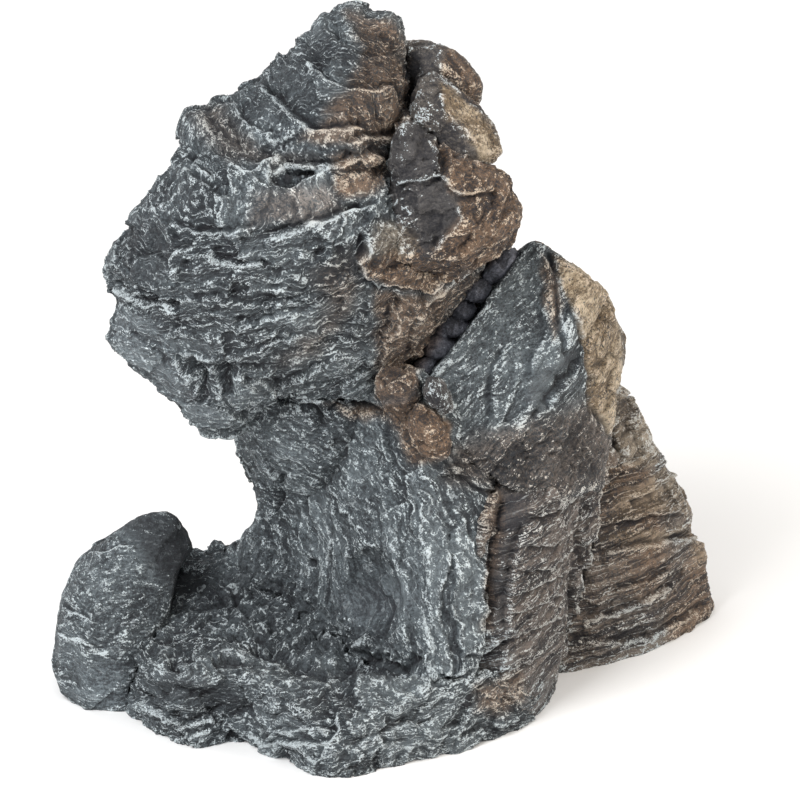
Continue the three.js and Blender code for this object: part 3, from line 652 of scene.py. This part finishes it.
COARSE = 0.9  # voxel size of the large stones
FINE = 0.5  # and of the pebbles and keystones
SPREAD = 3  # smoothing takes more rounds to reach as far over finer voxels
SWELL = 0.8  # every stone grows by this much, which closes the gaps left for the bond
CREASE_LEVEL = 0.35  # raises the skin between creases, so that the creases cut in
FINE_EDGE, BROAD_EDGE = 0.25, 1.2  # how proud an edge stands where the pale paint catches fully
FINE_HOLLOW, BROAD_HOLLOW = 0.3, 1.1  # and how deep a hollow is that the dark wash and painted shade fill


def remeshed(node):
    """An even, fine copy of a CAD node's mesh."""
    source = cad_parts[node]
    copy = bpy.data.objects.new("copy", source.data.copy())
    bpy.context.scene.collection.objects.link(copy)
    small = "pebble" in node or "keystone" in node
    remesh = copy.modifiers.new("remesh", "REMESH")
    remesh.mode = "VOXEL"
    remesh.voxel_size = (FINE if small else COARSE) * MM
    bpy.context.view_layer.update()
    mesh = bpy.data.meshes.new_from_object(copy.evaluated_get(bpy.context.evaluated_depsgraph_get()))
    bpy.data.objects.remove(copy)
    mesh.name = "stone_" + node
    return mesh


def rubble(points):
    """Height of a rubble of crumbs, drawn out from side to side, with pits between them."""
    drawn_out = points * np.array([0.6, 1.0, 1.0], np.float32)
    crumbs = 8.0 * np.abs(noise(drawn_out, 5.6, 91)) - 4.4 * np.abs(noise(drawn_out, 3.2, 93))
    return crumbs + noise(drawn_out, 2.2, 92) - 1.4


def carve(node, materials):
    """Stands a carved and painted copy in for one CAD stone."""
    cut = STONES[node]
    slot, plate, chip = cut.slot, cut.plate, cut.chip
    surface = Surface(remeshed(node))
    surface.points = surface.fair(surface.points, cut.rounds * SPREAD)
    normals = surface.relax(surface.normals(), 6)
    points = surface.points
    bends = np.stack([layered(points, 30, seed) for seed in (11, 14, 17)], 1)
    bent = points + bends * 1.5 * cut.wander
    astray = layered(bent, 26, 21, 3) + 0.43 * noise(points, 9, 23) + 0.3 * noise(points, 4, 24)
    field = cut.bedding(bent) + cut.wander * astray
    amounts = amounts_of(points)
    if slot == "dark_resin":
        amounts["bare"][:] = 1
    worn = 1 - 0.75 * amounts["bare"]
    # Plates stand in patches, and fine leaves lie between the patches.
    patches = smooth(-0.3, 0.3, noise(bent, 28, 31))
    plates, crest = shingles(field, cut.step, 3)
    leaves, fine_crest = shingles(field + 2.2 * noise(bent, 8, 25), cut.step * 0.4, 5)
    squashed = np.stack([bent[:, 0], bent[:, 1], 1.7 * field], 1)
    drawn, lip = marks(points, normals)
    facets = chips(squashed, cut.chip_size, 81)
    move = SWELL + 1.2 * layered(points, 46, 41, 2) + chip * worn * facets
    move = move + 0.35 * chip * worn * chips(squashed, 0.4 * cut.chip_size, 82)
    move = move + plate * worn * plates * (0.3 + 0.7 * patches)
    move = move + 0.35 * plate * worn * leaves * (1 - 0.7 * patches)
    creases = CREASE_LEVEL - np.abs(noise(points, 7, 55)) - 0.6 * np.abs(noise(points, 3.4, 56))
    move = move + cut.crumple * (0.2 + 0.8 * worn) * (layered(points, 4.0, 51, 2) + creases)
    move = move + amounts["crumbs"] * rubble(points)
    surface.points = points + normals * (move + drawn)[:, None]
    surface.points[:, 2] = np.maximum(surface.points[:, 2], 0)
    torn = np.minimum(crest + 1.6 * (1 - patches), fine_crest + 0.6 + 1.6 * patches)
    surface.store("rim", torn + 2.0 * (1 - worn))
    surface.store("bed", field)
    surface.store("lip", lip)
    surface.store("facet", np.clip(0.5 + 0.6 * facets, 0, 1))
    surface.store("leafing", np.full(len(points), cut.leafing))
    surface.store("wander", np.full(len(points), cut.wander / 3))
    for kind in ("brown", "tan", "dark", "pale", "bare"):
        surface.store(kind, amounts[kind])
    weather(surface)
    surface.write()
    stone = bpy.data.objects.new("stone_" + node, surface.mesh)
    bpy.context.scene.collection.objects.link(stone)
    surface.mesh.shade_smooth()
    surface.mesh.materials.clear()
    surface.mesh.materials.append(materials[slot])
    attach(stone, "root")
    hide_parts(node)


def weather(surface):
    """Stores the raised edges, where the dry-brushing catches, and the hollows, where the dark wash and
    painted shade go.
    """
    points = surface.points
    normals = surface.normals()
    near = surface.relax(points, 2 * SPREAD, 0.8)
    far = surface.relax(near, 8 * SPREAD, 0.8)
    fine = ((points - near) * normals).sum(1)
    broad = ((near - far) * normals).sum(1)
    edges = np.clip(fine / FINE_EDGE, 0, 1) * 0.85 + np.clip(broad / BROAD_EDGE, 0, 1) * 0.15
    hollows = np.clip(-fine / FINE_HOLLOW, 0, 1) * 0.4 + np.clip(-broad / BROAD_HOLLOW, 0, 1) * 0.8
    surface.store("edge", edges)
    surface.store("cavity", hollows)


# ---------------------------------------------------------------- materials

def srgb(r, g, b):
    """A linear colour from 0-255 display values."""
    return tuple(((c / 255 + 0.055) / 1.055) ** 2.4 for c in (r, g, b)) + (1,)


class Nodes:
    """Short names for building a material's node tree."""

    def __init__(self, name):
        self.material = bpy.data.materials.new(name)
        self.material.use_nodes = True
        self.tree = self.material.node_tree
        self.tree.nodes.clear()

    def add(self, kind, inputs=None, **settings):
        """A new node. Its inputs are plain values, or other nodes' outputs to link."""
        node = self.tree.nodes.new(kind)
        for key, value in settings.items():
            setattr(node, key, value)
        for key, value in (inputs or {}).items():
            if isinstance(value, bpy.types.NodeSocket):
                self.tree.links.new(value, node.inputs[key])
            else:
                node.inputs[key].default_value = value
        return node

    def attribute(self, name):
        return self.add("ShaderNodeAttribute", attribute_name=name).outputs["Fac"]

    def noise(self, where, scale, detail=4, rough=0.55):
        inputs = {"Vector": where, "Scale": scale, "Detail": detail, "Roughness": rough}
        return self.add("ShaderNodeTexNoise", inputs).outputs["Fac"]

    def math(self, operation, a, b=0.0, clamp=False):
        return self.add("ShaderNodeMath", {0: a, 1: b}, operation=operation, use_clamp=clamp).outputs[0]

    def total(self, *terms):
        """The sum of value * weight over (value, weight) pairs, and of plain numbers."""
        result = 0.0
        for term in terms:
            part = self.math("MULTIPLY", *term) if isinstance(term, tuple) else term
            result = self.math("ADD", result, part)
        return result

    def step(self, value, low, high, to_low=0.0, to_high=1.0):
        """An S-shaped step between two levels of a value."""
        inputs = {"Value": value, "From Min": low, "From Max": high, "To Min": to_low, "To Max": to_high}
        return self.add("ShaderNodeMapRange", inputs, interpolation_type="SMOOTHSTEP").outputs["Result"]

    def mix(self, amount, a, b):
        """Colour a turning into colour b as the amount goes from 0 to 1."""
        return self.add("ShaderNodeMix", {0: amount, 6: a, 7: b}, data_type="RGBA").outputs[2]

    def scaled(self, vector, factor):
        return self.add("ShaderNodeVectorMath", {0: vector, "Scale": factor}, operation="SCALE").outputs[0]

    def upward(self, length):
        return self.add("ShaderNodeCombineXYZ", {"Z": length}).outputs[0]

    def finish(self, inputs):
        """Ends the tree with a shader that has the given inputs, and gives the material."""
        shader = self.add("ShaderNodeBsdfPrincipled", inputs)
        output = self.add("ShaderNodeOutputMaterial")
        self.tree.links.new(shader.outputs[0], output.inputs[0])
        return self.material


# the dark wash in the hollows, also used as painted shade in crevices, pits, undercuts and under torn leaf
# edges
WASH_AND_SHADE = srgb(36, 36, 41)
EARTH = srgb(61, 51, 45), srgb(142, 115, 92)
SAND = srgb(134, 114, 88), srgb(234, 216, 188)
COOL_CHALK, WARM_CHALK = srgb(222, 232, 236), srgb(226, 206, 182)
CLOUDS, PATCHES, MOTTLES, GRAINS = 45, 130, 760, 1400  # noise scales, per metre
BUMP_HEIGHT = 0.0012
# What carve and weather store on the skin, for the paint to follow.
STORED = "edge cavity rim lip facet bed leafing wander brown tan dark pale bare".split()


def grains(nodes, skin):
    """Noises that the paint follows: clouds, patches, mottling, grain, and hair-lines along the bedding."""
    where = nodes.add("ShaderNodeTexCoord").outputs["Object"]
    layer = nodes.math("MULTIPLY", skin.bed, skin.leafing)
    # Hair-lines are noise that is long along the stone and short across the beds.
    stretched = nodes.add(
        "ShaderNodeVectorMath",
        {0: nodes.scaled(where, 210.0), 1: nodes.upward(nodes.math("MULTIPLY", layer, 1.3))},
        operation="ADD",
    )
    return SimpleNamespace(
        where=where,
        layer=layer,
        cloud=nodes.noise(where, CLOUDS, 4),
        patch=nodes.noise(where, PATCHES, 3),
        mottle=nodes.step(nodes.noise(where, MOTTLES, 4, 0.7), 0.36, 0.64),
        grain=nodes.step(nodes.noise(where, GRAINS, 3, 0.7), 0.36, 0.64),
        hair=nodes.step(nodes.noise(stretched.outputs[0], 1.0, 4, 0.65), 0.34, 0.66),
    )


def torn_leaves(nodes, skin, grit):
    """Leaves that rise along the bedding and end at a ragged edge. Fine ones lie between the coarse ones."""
    bends = nodes.math("MULTIPLY", nodes.noise(grit.where, 70, 4, 0.55), skin.wander)
    coarse = nodes.math("FRACT", nodes.total((bends, 3.6), (grit.layer, 0.22), (grit.mottle, 0.06)))
    bends = nodes.math("MULTIPLY", nodes.noise(grit.where, 150, 3, 0.5), skin.wander)
    fine = nodes.math("FRACT", nodes.total((bends, 3.2), (grit.layer, 0.45), (grit.mottle, 0.1)))
    torn = nodes.math("MULTIPLY", nodes.step(coarse, 0.84, 0.96), nodes.step(grit.patch, 0.46, 0.52), True)
    split = nodes.math("MULTIPLY", nodes.step(fine, 0.76, 0.94), nodes.step(grit.patch, 0.49, 0.43), True)
    split = nodes.math("MULTIPLY", split, nodes.total(0.1, (skin.wander, 0.9)), True)
    leafy = nodes.step(skin.leafing, 0.25, 0.85)
    fine_shade = nodes.math("MULTIPLY", nodes.step(fine, 0.16, 0.0), 0.6)
    shade = nodes.math("MAXIMUM", nodes.step(coarse, 0.12, 0.0), fine_shade, True)
    shade = nodes.math("MULTIPLY", shade, nodes.total(0.3, (leafy, 0.7)))
    return SimpleNamespace(coarse=coarse, fine=fine, torn=torn, split=split, leafy=leafy, shade=shade)


def sprayed_colour(nodes, skin, grit, leaf, low, high):
    """The slate's own tones with brown and tan sprayed over them, and a dark wash and painted shade in the
    hollows.
    """
    # Beds that run straight differ in tone from one to the next.
    up = nodes.upward(nodes.math("MULTIPLY", skin.bed, 0.2))
    band = nodes.math("SUBTRACT", nodes.step(nodes.noise(up, 1.0, 2), 0.38, 0.62), 0.5)
    band = nodes.math("MULTIPLY", band, nodes.math("SUBTRACT", 1.0, skin.wander))
    tone = nodes.total((grit.cloud, 0.8), (grit.mottle, 0.32), (grit.grain, 0.28), (grit.hair, 0.34))
    tone = nodes.total(tone, (leaf.fine, 0.12), (band, 0.9), -0.5, (skin.facet, 0.3), (skin.pale, 0.2), -0.15)
    colour = nodes.mix(nodes.step(tone, 0.05, 0.95), low, high)
    sprayed = nodes.step(nodes.total((grit.mottle, 0.4), (grit.grain, 0.3), (grit.cloud, 0.7)), 0.4, 0.72)
    earth = nodes.mix(nodes.step(tone, 0.1, 0.85), *EARTH)
    sand = nodes.mix(nodes.step(nodes.total(tone, (grit.cloud, 0.5), (grit.grain, -0.15)), 0.3, 1.05), *SAND)
    colour = nodes.mix(nodes.math("MULTIPLY", skin.brown, sprayed, True), colour, earth)
    colour = nodes.mix(nodes.math("MULTIPLY", skin.tan, nodes.step(sprayed, 0.0, 0.5), True), colour, sand)
    # the dark wash and painted shade in the hollows, and the dark areas' painted shade and dark paint
    hollow = nodes.math("MULTIPLY", skin.cavity, 0.8)
    hollow = nodes.math("MAXIMUM", nodes.math("MULTIPLY", skin.dark, 0.7), hollow, True)
    # dark pores in the mottling, and painted shadow just past each torn leaf edge
    pores_and_shadows = nodes.math("MAXIMUM", nodes.step(grit.mottle, 0.14, 0.0), leaf.shade)
    pores_and_shadows = nodes.math("MULTIPLY", pores_and_shadows, nodes.total(0.5, (skin.tan, -0.42)))
    hollow = nodes.math("MAXIMUM", hollow, pores_and_shadows, True)
    return nodes.mix(hollow, colour, WASH_AND_SHADE)


def dry_brushing(nodes, skin, grit, leaf):
    """How much pale paint has caught on torn rims, leaf edges, raised edges and the raised grain."""
    ragged = nodes.total((grit.mottle, 0.8), (grit.grain, 0.8), (grit.patch, 2.0), -1.8)
    drawn = nodes.step(nodes.total(ragged, (skin.lip, 1.25)), 0.1, 0.5, 1.0, 0.0)
    line = nodes.step(nodes.total(ragged, (skin.rim, 1.1)), 0.1, 0.5, 1.0, 0.0)
    line = nodes.math("MULTIPLY", line, nodes.step(grit.patch, 0.32, 0.44, 0.4, 1.0))
    line = nodes.math("MAXIMUM", line, drawn)
    leaves = nodes.math("MAXIMUM", leaf.torn, nodes.math("MULTIPLY", leaf.split, 0.8))
    leaves = nodes.math("MULTIPLY", leaves, nodes.step(grit.hair, 0.25, 0.65, 0.1, 1.0))
    leaves = nodes.math("MULTIPLY", leaves, leaf.leafy)
    allowed = nodes.total(0.75, (skin.pale, 0.35), (skin.bare, -0.5), (skin.dark, -0.35))
    leaves = nodes.math("MULTIPLY", leaves, allowed, True)
    catch = nodes.total((grit.mottle, 0.24), (grit.grain, 0.42), (grit.hair, 0.44), (grit.patch, 0.5))
    catch = nodes.total(catch, (skin.edge, 0.35), (skin.pale, 0.09), (skin.cavity, -0.25), (skin.dark, -0.25))
    catch = nodes.total(catch, (skin.bare, -0.2), (skin.brown, -0.05))
    brushed = nodes.step(catch, 1.18, 1.28, 0.0, 0.95)
    white = nodes.math("MAXIMUM", nodes.math("MULTIPLY", line, 0.95), brushed, True)
    return nodes.math("MAXIMUM", white, leaves, True)


def painted_resin(name, low, high, dusting=1.0):
    """Cast resin in slate tones from low to high, sprayed, washed and painted with shade, and dusted with
    pale paint.
    """
    nodes = Nodes(name)
    skin = SimpleNamespace(**{stored: nodes.attribute(stored) for stored in STORED})
    grit = grains(nodes, skin)
    leaf = torn_leaves(nodes, skin, grit)
    colour = sprayed_colour(nodes, skin, grit, leaf, low, high)
    white = dry_brushing(nodes, skin, grit, leaf)
    chalk = nodes.mix(nodes.math("MAXIMUM", skin.brown, skin.tan), COOL_CHALK, WARM_CHALK)
    colour = nodes.mix(nodes.math("MULTIPLY", white, dusting), colour, chalk)
    leaf_relief = nodes.math("MULTIPLY", leaf.coarse, nodes.step(grit.patch, 0.42, 0.5))
    split_relief = nodes.math("MULTIPLY", leaf.fine, nodes.step(grit.patch, 0.56, 0.48))
    relief = nodes.total((grit.mottle, 0.4), (grit.grain, 0.25), (grit.hair, 0.3), (leaf_relief, 0.5))
    relief = nodes.total(relief, (split_relief, 0.3), (white, 0.1))
    strength = nodes.step(skin.bare, 0.0, 1.0, 1.0, 0.4)
    bump = nodes.add("ShaderNodeBump", {"Height": relief, "Strength": strength, "Distance": BUMP_HEIGHT})
    return nodes.finish({
        "Base Color": colour,
        "Roughness": nodes.step(grit.mottle, 0.1, 0.9, 0.5, 0.85),
        "Normal": bump.outputs[0],
        "Specular IOR Level": 0.4,
    })


materials = {
    "slate_resin": painted_resin("slate_resin", srgb(43, 48, 53), srgb(120, 130, 135)),
    "brown_resin": painted_resin("brown_resin", srgb(48, 48, 52), srgb(130, 126, 123)),
    "tan_resin": painted_resin("tan_resin", srgb(52, 51, 54), srgb(146, 138, 129)),
    "dark_resin": painted_resin("dark_resin", srgb(50, 52, 59), srgb(122, 125, 136), 0.4),
}
for node in STONES:
    carve(node, materials)

# ---------------------------------------------------------------- floor, light and camera

MIDDLE = (0, 0, 0.15)
PAPER = (0.86, 0.86, 0.86, 1), (0.9, 0.9, 0.9, 1)
SKY = 0.8
KEY_WATTS, SIDE_WATTS = 36, 17
WARM_LIGHT = (1.0, 0.9, 0.78)
PICTURE_CENTRE = (156.15, 169.2)  # (u, v) in millimetres
PICTURE_WIDTH = 360.0  # millimetres
PICTURE_DEPTH = 95.0  # how far back in the drawing frame the camera aims, in millimetres
LENS, SENSOR = 500, 36


def area_light(name, energy, size, place, colour=(1, 1, 1)):
    """A square lamp that faces the middle of the ornament."""
    data = bpy.data.lights.new(name, "AREA")
    data.energy, data.size, data.color = energy, size, colour
    light = bpy.data.objects.new(name, data)
    light.location = place
    light.rotation_euler = (Vector(MIDDLE) - Vector(place)).to_track_quat("-Z", "Y").to_euler()
    bpy.context.scene.collection.objects.link(light)


def stage():
    """A paper floor, even light from all round, and two lamps."""
    bpy.ops.mesh.primitive_plane_add(size=30, location=(0, 0, 0))
    floor = bpy.context.object
    floor.name = "floor"
    nodes = Nodes("floor_paper")
    where = nodes.add("ShaderNodeTexCoord").outputs["Object"]
    colour = nodes.mix(nodes.noise(where, 8, 2), *PAPER)
    floor.data.materials.append(nodes.finish({"Base Color": colour, "Roughness": 0.9}))
    world = bpy.data.worlds.new("studio")
    world.use_nodes = True
    background = world.node_tree.nodes["Background"]
    background.inputs["Color"].default_value = (1, 1, 1, 1)
    background.inputs["Strength"].default_value = SKY
    bpy.context.scene.world = world
    bpy.context.scene.view_settings.view_transform = "Standard"
    area_light("key", KEY_WATTS, 0.9, (-0.9, -1.1, 1.5))
    area_light("warm_side", SIDE_WATTS, 0.8, (1.5, -0.5, 0.9), WARM_LIGHT)


def camera():
    """A long lens that frames the ornament as the photo does."""
    data = bpy.data.cameras.new("camera")
    data.lens, data.sensor_width = LENS, SENSOR
    cam = bpy.data.objects.new("camera", data)
    bpy.context.scene.collection.objects.link(cam)
    u, v = PICTURE_CENTRE
    aim = (np.array([u, PICTURE_DEPTH, (v - PICTURE_DEPTH * SIN) / COS]) + CORNER) * MM
    back = Vector((0, -COS, SIN))
    away = PICTURE_WIDTH * MM / (SENSOR / LENS)
    cam.location = Vector(aim) + back * away
    cam.rotation_euler = (-back).to_track_quat("-Z", "Y").to_euler()
    data.clip_start, data.clip_end = 0.1, 100
    bpy.context.scene.camera = cam


stage()
camera()
